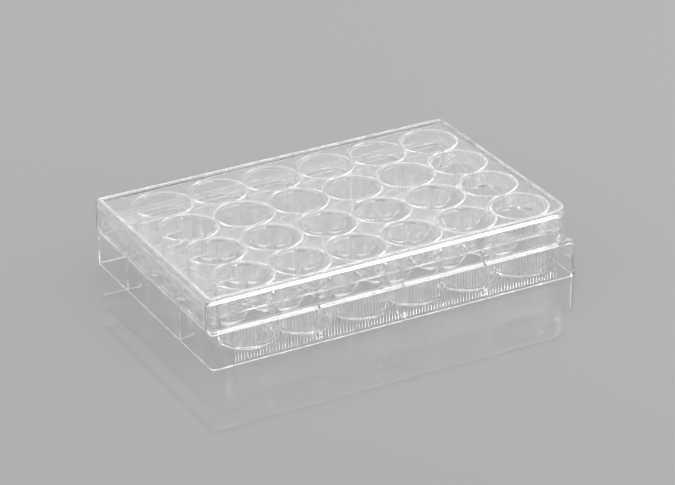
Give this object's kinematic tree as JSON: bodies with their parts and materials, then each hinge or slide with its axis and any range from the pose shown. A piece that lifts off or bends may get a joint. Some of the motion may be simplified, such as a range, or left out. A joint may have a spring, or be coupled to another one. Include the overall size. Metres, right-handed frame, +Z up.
{
  "type": "lidded multi-well culture plate",
  "caption": "Clear flat-bottomed multi-well plate with ribbed skirt, raised well field and a loose keyed lid with a stacking rim.",
  "frame": {"origin": "on the standing plane, under the middle of the skirt", "axes": "+X along the rows of wells towards the narrow margin and the lid's keyed corner, +Y towards the back, +Z up"},
  "size_m": [0.1283, 0.0854, 0.0232],
  "materials": {
    "plate_polystyrene": "clear moulded polystyrene, polished",
    "lid_polystyrene": "clear moulded polystyrene, polished"
  },
  "bodies": {
    "root": {"plate": "plate_polystyrene", "lid": "lid_polystyrene"}
  },
  "joints": []
}
